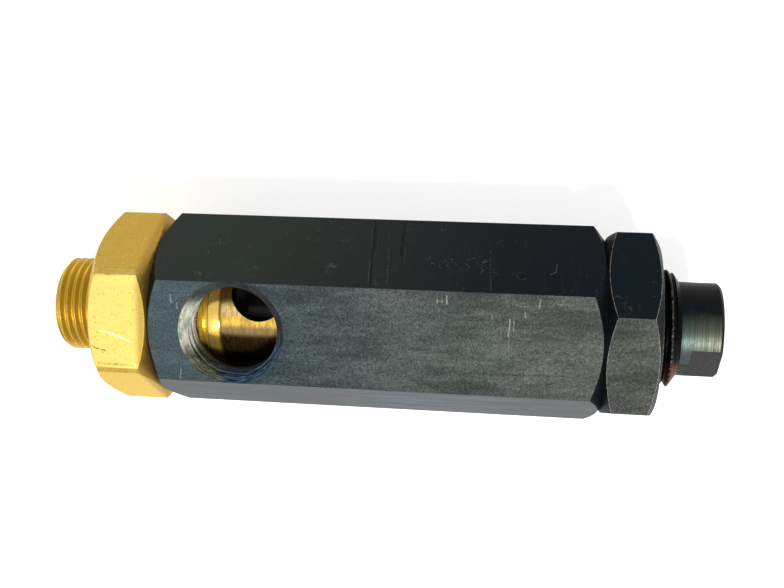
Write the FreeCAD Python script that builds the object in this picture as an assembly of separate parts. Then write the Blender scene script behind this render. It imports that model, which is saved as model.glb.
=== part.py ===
import FreeCAD, Part
import math
import os

# A spring loaded safety valve of the in line screw in kind, lying on one flat of its hexagonal body.
# A brass inlet nozzle with a G 3/8 male stub and its own hexagon screws into a blackened steel body.
# The nozzle carries the seat, and its nose guides the piston and lets the flow out through radial holes.
# The outlet is a G 3/8 female port in one flat of the body.
# At the other end an adjusting screw with two spanner flats loads the spring, and a thin nut locks it.
#
# Frame: millimetres. The origin is on the axis at the nozzle's inlet shoulder, where the stub meets the hexagon.
# +X runs along the axis from the inlet to the adjusting screw, and +Z points out of the outlet port.
# Fine threads are plain cylinders at their major diameter, with thread_clearance between screw and bore.

# Inlet nozzle, outside
inlet_thread_dia = 16.66
inlet_thread_length = 9.0
inlet_thread_chamfer = 1.0
nozzle_flats = 30.0
nozzle_hex_width = 10.5
nozzle_hex_turn = -4.5
nozzle_corner_wear = 0.32
nozzle_face_dia = 29.2
nozzle_chamfer_angle = 33.0
nozzle_thread_dia = 20.0
nozzle_thread_length = 6.0
nozzle_relief_dia = 18.2
nozzle_relief_width = 0.4
nozzle_collar_dia = 19.3
nozzle_collar_width = 2.4
nose_dia = 18.2
nose_chamfer = 0.6

# Inlet nozzle, inside
inlet_bore_dia = 10.0
inlet_bore_chamfer = 0.6
seat_bore_dia = 8.0
seat_bore_length = 5.0
drill_point_angle = 59.0
seat_lip_width = 1.0
seat_lip_height = 1.2
seat_offset = 8.7
chamber_dia = 14.0
discharge_hole_dia = 10.0
discharge_hole_count = 3
discharge_hole_turn = -36.5
discharge_hole_offset = 9.1

# Body
body_flats = 30.0
body_length = 76.0
body_face_dia = 29.2
body_chamfer_angle = 37.0
body_bore_dia = 18.6
thread_run_out = 0.2
recess_dia = 21.0
recess_margin = 3.4
port_dia = 16.66
port_drill_dia = 15.0
port_thread_depth = 4.3
port_offset = 14.6
port_chamfer = 0.7
bore_mouth_chamfer = 0.5

# Adjusting screw and lock nut
screw_thread_dia = 20.0
screw_travel = 2.0
screw_neck_length = 1.4
screw_pilot_chamfer = 0.4
screw_groove_offset = 0.8
screw_head_dia = 16.0
screw_head_length = 6.8
screw_head_chamfer = 0.5
screw_flats = 14.0
screw_flat_length = 5.5
screw_flat_turn = 40.0
screw_flat_skew = 7.0
screw_socket_dia = 8.0
screw_socket_depth = 14.0
screw_standout = 2.3
nut_flats = 30.0
nut_width = 9.0
nut_turn = 10.5
nut_face_dia = 28.6
nut_chamfer_angle = 28.0

# Piston and its seal
piston_head_dia = 12.2
piston_head_length = 3.6
piston_neck_dia = 7.0
piston_neck_margin = 1.2
piston_taper_length = 1.5
piston_skirt_length = 8.5
piston_edge = 0.4
seal_dia = 10.8
seal_thickness = 1.7
seal_standout = 0.7
seal_rim = 0.05
washer_dia = 6.0
washer_thickness = 0.8
seal_screw_dia = 3.0
seal_screw_length = 8.0
seal_screw_head_dia = 5.2
seal_screw_head_height = 1.8
seal_screw_slot = 0.8
seal_screw_chamfer = 0.3
seal_screw_pilot_spare = 0.9
piston_ring_width = 2.0
piston_ring_depth = 1.5
piston_ring_offset = 1.2

# Spindle, spring and plates
valve_lift = 2.0
ball_dia = 5.0
ball_socket_depth = 6.5
spindle_dia = 5.8
spindle_end_gap = 0.6
spindle_collar_dia = 10.0
spindle_collar_width = 1.2
spindle_tip_chamfer = 0.4
collar_gap = 0.4
plate_flange_width = 2.4
plate_boss_length = 2.6
plate_boss_chamfer = 0.6
shim_thickness = 0.5
spring_wire_dia = 2.2
spring_bore_gap = 0.7
spring_length = 22.2
spring_turns = 6.5
spring_dead_turns = 1.0
spring_coil_gap = 0.05
spring_ground_depth = 0.4

# O rings and the clearances that the pieces share
seal_ring_section = 2.0
screw_ring_section = 1.6
thread_clearance = 0.05
sliding_clearance = 0.05
ring_clearance = 0.04
travel_clearance = 0.1
groove_spare_width = 0.2
ring_pocket_depth = 1.0

X_AXIS = FreeCAD.Vector(1, 0, 0)
ORIGIN = FreeCAD.Vector(0, 0, 0)
HEX_SIDES = 6
FULL_TURN = 360.0

# Places along the axis, worked out from the sizes above
body_start = nozzle_hex_width
body_end = body_start + body_length
nozzle_groove_width = seal_ring_section + groove_spare_width
nozzle_thread_start = body_start + nozzle_groove_width
nozzle_thread_end = nozzle_thread_start + nozzle_thread_length
collar_start = nozzle_thread_end + nozzle_relief_width
nose_start = collar_start + nozzle_collar_width
body_thread_end = nose_start + thread_run_out
port_position = body_start + port_offset
seat_position = body_start + seat_offset
chamber_floor = seat_position - seat_lip_height
discharge_position = seat_position + discharge_hole_offset
discharge_end = discharge_position + discharge_hole_dia / 2
recess_end = discharge_end + recess_margin
seal_back = seat_position + seal_thickness
piston_front = seat_position + seal_standout
piston_head_end = piston_front + piston_head_length
piston_neck_end = discharge_end + piston_neck_margin
piston_back = piston_neck_end + piston_skirt_length
nose_end = piston_back
ball_centre = piston_back - ball_socket_depth + ball_dia / 2
spindle_start = ball_centre + ball_dia / 2
spindle_collar_start = piston_back + collar_gap
lower_plate_start = spindle_collar_start + spindle_collar_width
spring_start = lower_plate_start + plate_flange_width
spring_end = spring_start + spring_length
upper_plate_start = spring_end + shim_thickness
screw_start = upper_plate_start + plate_flange_width
screw_groove_start = screw_start + screw_groove_offset
screw_groove_end = screw_groove_start + screw_ring_section + groove_spare_width
screw_socket_end = screw_start + screw_socket_depth
spindle_end = screw_socket_end - screw_travel - valve_lift - spindle_end_gap
nut_end = body_end + nut_width
screw_thread_end = nut_end + screw_standout
screw_head_start = screw_thread_end + screw_neck_length
screw_end = screw_head_start + screw_head_length

# Diameters that follow from the piece that fits there
body_thread_bore = nozzle_thread_dia + 2 * thread_clearance
screw_thread_bore = screw_thread_dia + 2 * thread_clearance
ring_pocket_dia = nozzle_thread_dia + 2 * ring_pocket_depth
nozzle_neck_dia = ring_pocket_dia - 2 * seal_ring_section - 4 * ring_clearance
piston_skirt_dia = chamber_dia - 2 * sliding_clearance
ball_socket_dia = max(ball_dia, spindle_dia) + 4 * sliding_clearance
screw_pilot_dia = body_bore_dia - 2 * thread_clearance
plate_dia = body_bore_dia - 4 * sliding_clearance
spring_outer_dia = body_bore_dia - 2 * spring_bore_gap
spring_inner_dia = spring_outer_dia - 2 * spring_wire_dia
plate_boss_dia = spring_inner_dia - 6 * sliding_clearance
screw_groove_dia = screw_pilot_dia - 2 * screw_ring_section

# The screw's ring stays in the plain bore, and its thread clear of the bore's step, over its whole travel.
body_thread_start = screw_groove_end + screw_travel + travel_clearance
body_step_end = body_thread_start + (screw_thread_bore - body_bore_dia) / 2
screw_thread_start = body_step_end + screw_travel + travel_clearance


def turned(profile):
    """A solid of revolution about X from (x, radius) corners."""
    points = [FreeCAD.Vector(x, 0, radius) for x, radius in profile]
    outline = Part.makePolygon(points + points[:1])
    return Part.Face(outline).revolve(ORIGIN, X_AXIS, FULL_TURN)


def rod(start, end, dia, start_chamfer=0.0, end_chamfer=0.0):
    """A round bar from start to end with 45 degree chamfers."""
    r = dia / 2
    profile = [(start, 0), (start, r - start_chamfer)]
    if start_chamfer:
        profile.append((start + start_chamfer, r))
    if end_chamfer:
        profile.append((end - end_chamfer, r))
    profile += [(end, r - end_chamfer), (end, 0)]
    return turned(profile)


def ring(start, end, outer_dia, inner_dia):
    """A flat ring round the axis."""
    return turned([
        (start, inner_dia / 2),
        (start, outer_dia / 2),
        (end, outer_dia / 2),
        (end, inner_dia / 2),
    ])


def o_ring(centre, mean_dia, section):
    """A round section ring lying in its groove."""
    return Part.makeTorus(mean_dia / 2, section / 2, FreeCAD.Vector(centre, 0, 0), X_AXIS)


def across_corners(flats):
    return flats / math.cos(math.pi / HEX_SIDES)


def hexagon(start, end, flats, turn):
    """A hexagonal bar. At turn 0 one flat faces +Z, and turn is about the X axis in degrees."""
    radius = across_corners(flats) / 2
    corners = []
    for i in range(HEX_SIDES + 1):
        angle = math.radians(FULL_TURN * i / HEX_SIDES + turn)
        corners.append(FreeCAD.Vector(start, radius * math.cos(angle), radius * math.sin(angle)))
    return Part.Face(Part.makePolygon(corners)).extrude(FreeCAD.Vector(end - start, 0, 0))


def chamfered_hexagon(start, end, flats, turn, face_dia, angle, corner_dia):
    """A hexagonal bar whose ends are turned to a cone, so each flat ends in an arc."""
    face_r = face_dia / 2
    corner_r = corner_dia / 2
    depth = (corner_r - face_r) * math.tan(math.radians(angle))
    envelope = turned([
        (start, 0),
        (start, face_r),
        (start + depth, corner_r),
        (end - depth, corner_r),
        (end, face_r),
        (end, 0),
    ])
    return hexagon(start, end, flats, turn).common(envelope)


def sharp_corner_dia(flats):
    """A turned size that just clears the hexagon's corners."""
    return across_corners(flats) + 2 * thread_clearance


def make_inlet_nozzle():
    hex_part = chamfered_hexagon(
        0, nozzle_hex_width, nozzle_flats, nozzle_hex_turn, nozzle_face_dia, nozzle_chamfer_angle,
        across_corners(nozzle_flats) - 2 * nozzle_corner_wear,
    )
    stub = rod(-inlet_thread_length, 0, inlet_thread_dia, start_chamfer=inlet_thread_chamfer)
    neck = rod(body_start, nozzle_thread_start, nozzle_neck_dia)
    thread = rod(nozzle_thread_start, nozzle_thread_end, nozzle_thread_dia)
    relief = rod(nozzle_thread_end, collar_start, nozzle_relief_dia)
    collar = rod(collar_start, nose_start, nozzle_collar_dia)
    nose = rod(nose_start, nose_end, nose_dia, end_chamfer=nose_chamfer)
    blank = hex_part.multiFuse([stub, neck, thread, relief, collar, nose])

    bore_r = inlet_bore_dia / 2
    seat_r = seat_bore_dia / 2
    bore_end = seat_position - seat_bore_length
    cone_length = (bore_r - seat_r) / math.tan(math.radians(drill_point_angle))
    inlet_bore = turned([
        (-inlet_thread_length, 0),
        (-inlet_thread_length, bore_r + inlet_bore_chamfer),
        (-inlet_thread_length + inlet_bore_chamfer, bore_r),
        (bore_end, bore_r),
        (bore_end + cone_length, seat_r),
        (seat_position, seat_r),
        (seat_position, 0),
    ])
    lip_r = seat_r + seat_lip_width
    chamber = turned([
        (seat_position, 0),
        (seat_position, lip_r),
        (chamber_floor, lip_r),
        (chamber_floor, chamber_dia / 2),
        (nose_end, chamber_dia / 2),
        (nose_end, 0),
    ])
    holes = []
    for i in range(discharge_hole_count):
        angle = math.radians(FULL_TURN * i / discharge_hole_count + discharge_hole_turn)
        outward = FreeCAD.Vector(0, -math.sin(angle), math.cos(angle))
        centre = FreeCAD.Vector(discharge_position, 0, 0)
        holes.append(Part.makeCylinder(discharge_hole_dia / 2, nose_dia, centre, outward))
    return blank.cut(inlet_bore.multiFuse([chamber] + holes)).removeSplitter()


def make_nozzle_o_ring():
    mean_dia = (ring_pocket_dia + nozzle_neck_dia) / 2
    return o_ring(body_start + nozzle_groove_width / 2, mean_dia, seal_ring_section)


def outlet_port_cutter():
    """The tapping drill's hole down to the axis, the thread above it and the chamfered mouth."""
    flat_z = body_flats / 2
    thread_r = port_dia / 2
    drill_r = port_drill_dia / 2
    thread_z = flat_z - port_thread_depth
    profile = [
        (0, 0),
        (drill_r, 0),
        (drill_r, thread_z),
        (thread_r, thread_z),
        (thread_r, flat_z - port_chamfer),
        (thread_r + 2 * port_chamfer, flat_z + port_chamfer),
        (0, flat_z + port_chamfer),
    ]
    points = [FreeCAD.Vector(port_position + r, 0, z) for r, z in profile]
    half = Part.Face(Part.makePolygon(points + points[:1]))
    return half.revolve(FreeCAD.Vector(port_position, 0, 0), FreeCAD.Vector(0, 0, 1), FULL_TURN)


def make_valve_body():
    bar = chamfered_hexagon(
        body_start, body_end, body_flats, 0, body_face_dia, body_chamfer_angle,
        sharp_corner_dia(body_flats),
    )
    left_r = body_thread_bore / 2
    right_r = screw_thread_bore / 2
    bore_r = body_bore_dia / 2
    bore = turned([
        (body_start, 0),
        (body_start, ring_pocket_dia / 2),
        (nozzle_thread_start, ring_pocket_dia / 2),
        (nozzle_thread_start, left_r),
        (body_thread_end, left_r),
        (body_thread_end, recess_dia / 2),
        (recess_end, recess_dia / 2),
        (recess_end, bore_r),
        (body_thread_start, bore_r),
        (body_step_end, right_r),
        (body_end - bore_mouth_chamfer, right_r),
        (body_end, right_r + bore_mouth_chamfer),
        (body_end, 0),
    ])
    return bar.cut(bore.fuse(outlet_port_cutter())).removeSplitter()


def make_seat_seal():
    return ring(seat_position, seal_back, seal_dia, seal_screw_dia + 4 * sliding_clearance)


def make_seal_washer():
    start = seat_position - washer_thickness
    return ring(start, seat_position, washer_dia, seal_screw_dia + 4 * sliding_clearance)


def make_seal_screw():
    under_head = seat_position - washer_thickness
    top = under_head - seal_screw_head_height
    end = under_head + seal_screw_length
    head = rod(top, under_head, seal_screw_head_dia, start_chamfer=seal_screw_chamfer)
    shank = rod(under_head, end, seal_screw_dia, end_chamfer=seal_screw_chamfer)
    slot_corner = FreeCAD.Vector(top, -seal_screw_head_dia / 2, -seal_screw_slot / 2)
    slot = Part.makeBox(seal_screw_slot, seal_screw_head_dia, seal_screw_slot, slot_corner)
    return head.fuse(shank).cut(slot).removeSplitter()


def make_piston():
    head_r = piston_head_dia / 2
    neck_r = piston_neck_dia / 2
    skirt_r = piston_skirt_dia / 2
    seal_r = seal_dia / 2 + seal_rim
    pilot_r = seal_screw_dia / 2 + sliding_clearance
    pilot_end = seat_position - washer_thickness + seal_screw_length + seal_screw_pilot_spare
    groove_r = skirt_r - piston_ring_depth
    groove_start = piston_neck_end + piston_ring_offset
    groove_end = groove_start + piston_ring_width + groove_spare_width
    socket_r = ball_socket_dia / 2
    return turned([
        (pilot_end, 0),
        (pilot_end, pilot_r),
        (seal_back, pilot_r),
        (seal_back, seal_r),
        (piston_front, seal_r),
        (piston_front, head_r),
        (piston_head_end, head_r),
        (piston_head_end + piston_taper_length, neck_r),
        (piston_neck_end, neck_r),
        (piston_neck_end, skirt_r - piston_edge),
        (piston_neck_end + piston_edge, skirt_r),
        (groove_start, skirt_r),
        (groove_start, groove_r),
        (groove_end, groove_r),
        (groove_end, skirt_r),
        (piston_back - piston_edge, skirt_r),
        (piston_back, skirt_r - piston_edge),
        (piston_back, socket_r),
        (piston_back - ball_socket_depth, socket_r),
        (piston_back - ball_socket_depth, 0),
    ])


def make_piston_ring():
    start = piston_neck_end + piston_ring_offset + groove_spare_width / 2
    inner_dia = piston_skirt_dia - 2 * piston_ring_depth + 2 * ring_clearance
    return ring(start, start + piston_ring_width, chamber_dia - ring_clearance, inner_dia)


def make_thrust_ball():
    return Part.makeSphere(ball_dia / 2, FreeCAD.Vector(ball_centre, 0, 0))


def make_spindle():
    shaft = rod(
        spindle_start, spindle_end, spindle_dia,
        start_chamfer=spindle_tip_chamfer, end_chamfer=spindle_tip_chamfer,
    )
    collar = rod(spindle_collar_start, lower_plate_start, spindle_collar_dia)
    return shaft.fuse(collar).removeSplitter()


def spring_plate(face, direction):
    """A spring plate. Its flange starts at face, and its boss points along direction into the spring."""
    flange_end = face + direction * plate_flange_width
    boss_end = flange_end + direction * plate_boss_length
    boss_r = plate_boss_dia / 2
    bore_r = spindle_dia / 2 + sliding_clearance
    return turned([
        (face, bore_r),
        (face, plate_dia / 2),
        (flange_end, plate_dia / 2),
        (flange_end, boss_r),
        (boss_end - direction * plate_boss_chamfer, boss_r),
        (boss_end, boss_r - plate_boss_chamfer),
        (boss_end, bore_r),
    ])


def make_lower_spring_plate():
    return spring_plate(lower_plate_start, 1)


def make_upper_spring_plate():
    return spring_plate(screw_start, -1)


def make_shim_washer():
    return ring(spring_end, upper_plate_start, spring_outer_dia, spring_inner_dia)


def coil_height(turn):
    """How far the wire's centre has climbed after so many turns, with a closed coil at each end."""
    dead_pitch = spring_wire_dia + spring_coil_gap
    centre_span = spring_length + 2 * spring_ground_depth - spring_wire_dia
    live_turns = spring_turns - 2 * spring_dead_turns
    live_pitch = (centre_span - 2 * spring_dead_turns * dead_pitch) / live_turns
    live = min(max(turn - spring_dead_turns, 0.0), live_turns)
    return live * live_pitch + (turn - live) * dead_pitch


def make_main_spring():
    steps_a_turn = 16
    steps = int(round(spring_turns * steps_a_turn))
    coil_r = (spring_outer_dia - spring_wire_dia) / 2
    first_centre = spring_start - spring_ground_depth + spring_wire_dia / 2
    points = []
    for i in range(steps + 1):
        turn = spring_turns * i / steps
        angle = math.radians(FULL_TURN * turn)
        x = first_centre + coil_height(turn)
        points.append(FreeCAD.Vector(x, coil_r * math.cos(angle), coil_r * math.sin(angle)))
    path = Part.BSplineCurve()
    path.interpolate(points)
    tangent = path.tangent(path.FirstParameter)[0]
    section = Part.Wire(Part.makeCircle(spring_wire_dia / 2, points[0], tangent))
    coil = Part.Wire(path.toShape()).makePipeShell([section], True, True)
    # The closed end coils are ground flat, square to the axis.
    ends = rod(spring_start, spring_end, spring_outer_dia + spring_wire_dia)
    return coil.common(ends)


def make_adjusting_screw():
    pilot_r = screw_pilot_dia / 2
    thread_r = screw_thread_dia / 2
    head_r = screw_head_dia / 2
    blank = turned([
        (screw_start, 0),
        (screw_start, pilot_r - screw_pilot_chamfer),
        (screw_start + screw_pilot_chamfer, pilot_r),
        (screw_groove_start, pilot_r),
        (screw_groove_start, screw_groove_dia / 2),
        (screw_groove_end, screw_groove_dia / 2),
        (screw_groove_end, pilot_r),
        (screw_thread_start, pilot_r),
        (screw_thread_start + thread_r - pilot_r, thread_r),
        (screw_thread_end, thread_r),
        (screw_head_start, head_r),
        (screw_end - screw_head_chamfer, head_r),
        (screw_end, head_r - screw_head_chamfer),
        (screw_end, 0),
    ])
    cutters = [rod(screw_start, screw_socket_end, screw_socket_dia)]
    reach = 2 * screw_head_dia
    for side in (0, 180):
        corner = FreeCAD.Vector(screw_end - screw_flat_length, -reach / 2, screw_flats / 2)
        cutter = Part.makeBox(reach, reach, reach, corner)
        pivot = FreeCAD.Vector(screw_end - screw_flat_length, 0, 0)
        cutter.rotate(pivot, FreeCAD.Vector(0, 0, 1), -screw_flat_skew)
        cutter.rotate(ORIGIN, X_AXIS, screw_flat_turn + side)
        cutters.append(cutter)
    return blank.cut(cutters[0].multiFuse(cutters[1:])).removeSplitter()


def make_screw_o_ring():
    mean_dia = (screw_groove_dia + body_bore_dia) / 2
    centre = (screw_groove_start + screw_groove_end) / 2
    return o_ring(centre, mean_dia, screw_ring_section - ring_clearance)


def make_lock_nut():
    blank = chamfered_hexagon(
        body_end, nut_end, nut_flats, nut_turn, nut_face_dia, nut_chamfer_angle,
        sharp_corner_dia(nut_flats),
    )
    bore_r = screw_thread_bore / 2
    bore = turned([
        (body_end, 0),
        (body_end, bore_r + bore_mouth_chamfer),
        (body_end + bore_mouth_chamfer, bore_r),
        (nut_end - bore_mouth_chamfer, bore_r),
        (nut_end, bore_r + bore_mouth_chamfer),
        (nut_end, 0),
    ])
    return blank.cut(bore)


PIECES = {
    "valve_body": make_valve_body,
    "inlet_nozzle": make_inlet_nozzle,
    "nozzle_o_ring": make_nozzle_o_ring,
    "piston": make_piston,
    "piston_ring": make_piston_ring,
    "seat_seal": make_seat_seal,
    "seal_washer": make_seal_washer,
    "seal_screw": make_seal_screw,
    "thrust_ball": make_thrust_ball,
    "spindle": make_spindle,
    "lower_spring_plate": make_lower_spring_plate,
    "main_spring": make_main_spring,
    "shim_washer": make_shim_washer,
    "upper_spring_plate": make_upper_spring_plate,
    "adjusting_screw": make_adjusting_screw,
    "screw_o_ring": make_screw_o_ring,
    "lock_nut": make_lock_nut,
}


def main():
    os.makedirs("parts", exist_ok=True)
    for name, make in PIECES.items():
        shape = make()
        shape.exportStep(f"parts/{name}.step")
        box = shape.BoundBox
        print(
            f"{name}: valid {shape.isValid()}, solids {len(shape.Solids)}, volume {shape.Volume:.1f},"
            f" x {box.XMin:.2f} to {box.XMax:.2f}"
        )


main()
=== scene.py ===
import math
from collections import namedtuple

import bmesh
import bpy
from bpy.props import FloatProperty, FloatVectorProperty, IntProperty, PointerProperty
from mathutils import Matrix, Vector


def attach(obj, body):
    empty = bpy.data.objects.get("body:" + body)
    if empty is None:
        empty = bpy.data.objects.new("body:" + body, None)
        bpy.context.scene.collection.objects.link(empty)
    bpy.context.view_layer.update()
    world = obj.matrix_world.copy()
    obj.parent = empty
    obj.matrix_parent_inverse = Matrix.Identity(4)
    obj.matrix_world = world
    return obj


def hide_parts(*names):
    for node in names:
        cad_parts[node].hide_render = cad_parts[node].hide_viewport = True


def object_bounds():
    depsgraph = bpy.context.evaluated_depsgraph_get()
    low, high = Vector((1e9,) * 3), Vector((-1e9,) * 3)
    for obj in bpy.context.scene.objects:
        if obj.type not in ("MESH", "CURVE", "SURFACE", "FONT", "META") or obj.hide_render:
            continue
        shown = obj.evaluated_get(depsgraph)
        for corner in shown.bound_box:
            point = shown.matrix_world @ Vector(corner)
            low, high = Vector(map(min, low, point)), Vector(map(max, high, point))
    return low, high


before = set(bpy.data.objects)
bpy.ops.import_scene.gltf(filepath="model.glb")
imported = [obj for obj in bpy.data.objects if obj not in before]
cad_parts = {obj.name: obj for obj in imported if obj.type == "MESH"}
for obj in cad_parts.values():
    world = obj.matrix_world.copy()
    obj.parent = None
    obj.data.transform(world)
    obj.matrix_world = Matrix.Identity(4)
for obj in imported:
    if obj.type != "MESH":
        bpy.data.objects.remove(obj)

bl_info = {
    "name": "Safety valve",
    "version": (1, 0, 0),
    "blender": (4, 5, 0),
    "location": "3D View > Sidebar > Safety valve",
    "description": "Threads, worn edges, finishes and stage for a screw-in safety valve",
    "category": "Object",
}

MM = 0.001
CAD_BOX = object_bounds()
ALONG = Vector((1.0, 0.0, 0.0))
UPRIGHT = Vector((0.0, 0.0, 1.0))
CENTRE = Vector((0.0, 0.0, 0.0))

# Sizes of the solids, where the threads are cut.
INLET_RADIUS = 8.33 * MM
SCREW_RADIUS = 10.0 * MM
PORT_CENTRE = Vector((25.1 * MM, 0.0, 0.0))
PORT_DRILL_RADIUS = 7.5 * MM
PIPE_FLANK = math.radians(27.5)
METRIC_FLANK = math.radians(30.0)
TURNED_STEPS = 96

# Only the hexagons reach further out than this, and only their edges are rounded.
HEXAGON_INSIDE = 13.0 * MM

# Angles between faces, for merging below, rounding above and sharp shading above.
MERGE_ANGLE = math.radians(0.4)
ROUNDED_ANGLE = math.radians(20.0)
SHARP_ANGLE = math.radians(14.0)

# Wear of a rounded edge: hexagon edges that run along the valve keep more of their black.
STRAIGHT_WEAR = 0.3

# The photograph's camera and light, and the floor's glow that makes it as white as the world.
CAMERA_PLACE = Vector((73.93, 49.88, 180.50)) * MM
CAMERA_RIGHT = Vector((0.99117, 0.00792, -0.13237))
CAMERA_UP = Vector((-0.03992, 0.96973, -0.24089))
LAMP_TOWARD = Vector((0.22, -0.33, 0.92))
FLOOR_GLOW = 0.74


# Sizes and colours that a user would change

class ThreadSizes(bpy.types.PropertyGroup):
    """Threads that are cut into the plain cylinders of the solids."""
    pipe_pitch: FloatProperty(
        name="Pipe thread pitch", description="Pitch of the inlet and outlet threads",
        default=1.337 * MM, min=0.5 * MM, unit="LENGTH", precision=6)
    pipe_depth: FloatProperty(
        name="Pipe thread depth", description="Depth of the inlet and outlet threads",
        default=0.8 * MM, min=0.1 * MM, unit="LENGTH", precision=6)
    screw_pitch: FloatProperty(
        name="Screw pitch", description="Pitch of the adjusting screw and of the nozzle's inner thread",
        default=1.5 * MM, min=0.5 * MM, unit="LENGTH", precision=6)
    screw_depth: FloatProperty(
        name="Screw thread depth", description="Depth of the adjusting screw's thread",
        default=0.86 * MM, min=0.1 * MM, unit="LENGTH", precision=6)
    steps: IntProperty(
        name="Steps a turn", description="Faces around one turn of a thread", default=64, min=24, max=128)


class EdgeSizes(bpy.types.PropertyGroup):
    """Rounding that handling leaves on machined edges."""
    steel: FloatProperty(
        name="Steel edges", description="Rounding of the hexagon edges of body and nut",
        default=0.14 * MM, min=0.01 * MM, unit="LENGTH", precision=6)
    brass: FloatProperty(
        name="Brass edges", description="Rounding of the nozzle's hexagon edges",
        default=0.18 * MM, min=0.01 * MM, unit="LENGTH", precision=6)


class FinishColours(bpy.types.PropertyGroup):
    """Colours of the metals and of what has settled on them."""
    oxide: FloatVectorProperty(
        name="Black oxide", description="Blackened steel where it is clean",
        subtype="COLOR", size=4, default=(0.006, 0.008, 0.010, 1.0), min=0.0, max=1.0)
    bare_steel: FloatVectorProperty(
        name="Bare steel", description="Steel where the black finish has worn off",
        subtype="COLOR", size=4, default=(0.50, 0.49, 0.43, 1.0), min=0.0, max=1.0)
    rust: FloatVectorProperty(
        name="Rust", description="First rust in the thread's run-out",
        subtype="COLOR", size=4, default=(0.26, 0.08, 0.018, 1.0), min=0.0, max=1.0)
    brass: FloatVectorProperty(
        name="Brass", description="Clean machined brass",
        subtype="COLOR", size=4, default=(0.56, 0.40, 0.095, 1.0), min=0.0, max=1.0)
    tarnish: FloatVectorProperty(
        name="Tarnished brass", description="Brass that has gone brown in nicks and thread roots",
        subtype="COLOR", size=4, default=(0.22, 0.11, 0.022, 1.0), min=0.0, max=1.0)


class StageSettings(bpy.types.PropertyGroup):
    """Lamp, world and floor."""
    lamp: FloatProperty(
        name="Lamp", description="Strength of the broad key lamp", default=2.2, min=0.0)
    lamp_angle: FloatProperty(
        name="Lamp width", description="How wide the lamp looks from the object",
        default=math.radians(12.0), min=0.0, subtype="ANGLE", unit="ROTATION")
    world: FloatProperty(
        name="World", description="Strength of the plain light from all sides", default=0.35, min=0.0)
    floor: FloatVectorProperty(
        name="Floor", description="Colour of the floor", subtype="COLOR", size=4,
        default=(0.86, 0.86, 0.86, 1.0), min=0.0, max=1.0)


class SafetyValveSettings(bpy.types.PropertyGroup):
    """Everything that the panel shows."""
    threads: PointerProperty(type=ThreadSizes, name="Threads", description="Thread sizes")
    edges: PointerProperty(type=EdgeSizes, name="Edges", description="Rounding of edges")
    colours: PointerProperty(type=FinishColours, name="Colours", description="Colours of the finishes")
    stage: PointerProperty(type=StageSettings, name="Stage", description="Lamp, world and floor")


def settings():
    return bpy.context.scene.safety_valve


# Mesh tools

def merged_copy(node, name):
    """A copy of a CAD node's mesh as closed faces, flat ones in one piece."""
    bm = bmesh.new()
    bm.from_mesh(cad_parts[node].data)
    bmesh.ops.remove_doubles(bm, verts=bm.verts, dist=1e-7)
    bmesh.ops.dissolve_limit(
        bm, angle_limit=MERGE_ANGLE, use_dissolve_boundaries=False,
        verts=bm.verts, edges=bm.edges)
    mesh = bpy.data.meshes.new(name)
    piece = bpy.data.objects.new(name, mesh)
    bpy.context.scene.collection.objects.link(piece)
    return piece, bm


def fill(piece, bm):
    """Put the worked faces into the piece."""
    bm.to_mesh(piece.data)
    bm.free()


def from_axis(point):
    return math.hypot(point.y, point.z)


def on_hexagon(point):
    return from_axis(point) > HEXAGON_INSIDE


def round_edges(bm, width, wanted):
    """Bevel the outward edges that wanted picks, and mark the new faces as edge."""
    bm.normal_update()
    edges = [
        edge for edge in bm.edges
        if len(edge.link_faces) == 2
        and edge.is_convex
        and edge.calc_face_angle() > ROUNDED_ANGLE
        and wanted((edge.verts[0].co + edge.verts[1].co) / 2)]
    layer = bm.faces.layers.float.new("worn_edge")
    made = bmesh.ops.bevel(
        bm, geom=edges, offset=width, offset_type="OFFSET", segments=2, profile=0.5,
        affect="EDGES", clamp_overlap=True, material=-1)
    for face in made["faces"]:
        straight = abs(face.normal.x) < 0.02
        face[layer] = STRAIGHT_WEAR if straight else 1.0


def thread_section(along, out, deep, shallow, root_half, flank, crest_round):
    """Corners of a thread groove's section, from its root at deep to its open side at shallow."""
    step = math.tan(flank) * (1.0 if shallow > deep else -1.0)
    side = 1.0 if shallow > deep else -1.0
    crest = shallow - side * 0.1 * MM
    reach = [
        (deep, root_half * 0.45),
        (deep + side * 0.05 * MM, root_half),
        (crest - side * crest_round, root_half + (crest - side * crest_round - deep) * step),
        (crest - side * crest_round * 0.3, root_half + (crest - deep) * step + crest_round * 0.15),
        (crest, root_half + (crest - deep) * step + crest_round * 0.75),
        (shallow, root_half + (crest - deep) * step + crest_round * 0.9),
    ]
    left = [along * -half + out * radius for radius, half in reach]
    right = [along * half + out * radius for radius, half in reversed(reach)]
    return left + right


def screw_section(threads):
    """The groove of the M20 threads, around the valve's middle."""
    return thread_section(
        ALONG, UPRIGHT, SCREW_RADIUS - threads.screw_depth, SCREW_RADIUS + 0.1 * MM,
        0.10 * MM, METRIC_FLANK, 0.10 * MM)


def helical_cutter(name, section, foot, axis, pitch, turns, steps):
    """A closed helical bar: the section at foot is carried round the axis."""
    bm = bmesh.new()
    verts = [bm.verts.new(foot + corner) for corner in section]
    face = bm.faces.new(verts)
    bmesh.ops.spin(
        bm, geom=[face] + list(face.edges) + verts, cent=foot, axis=axis,
        dvec=axis * (pitch / steps), angle=2.0 * math.pi * turns, steps=round(steps * turns))
    bmesh.ops.recalc_face_normals(bm, faces=bm.faces)
    return tool_from(bm, name)


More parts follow.
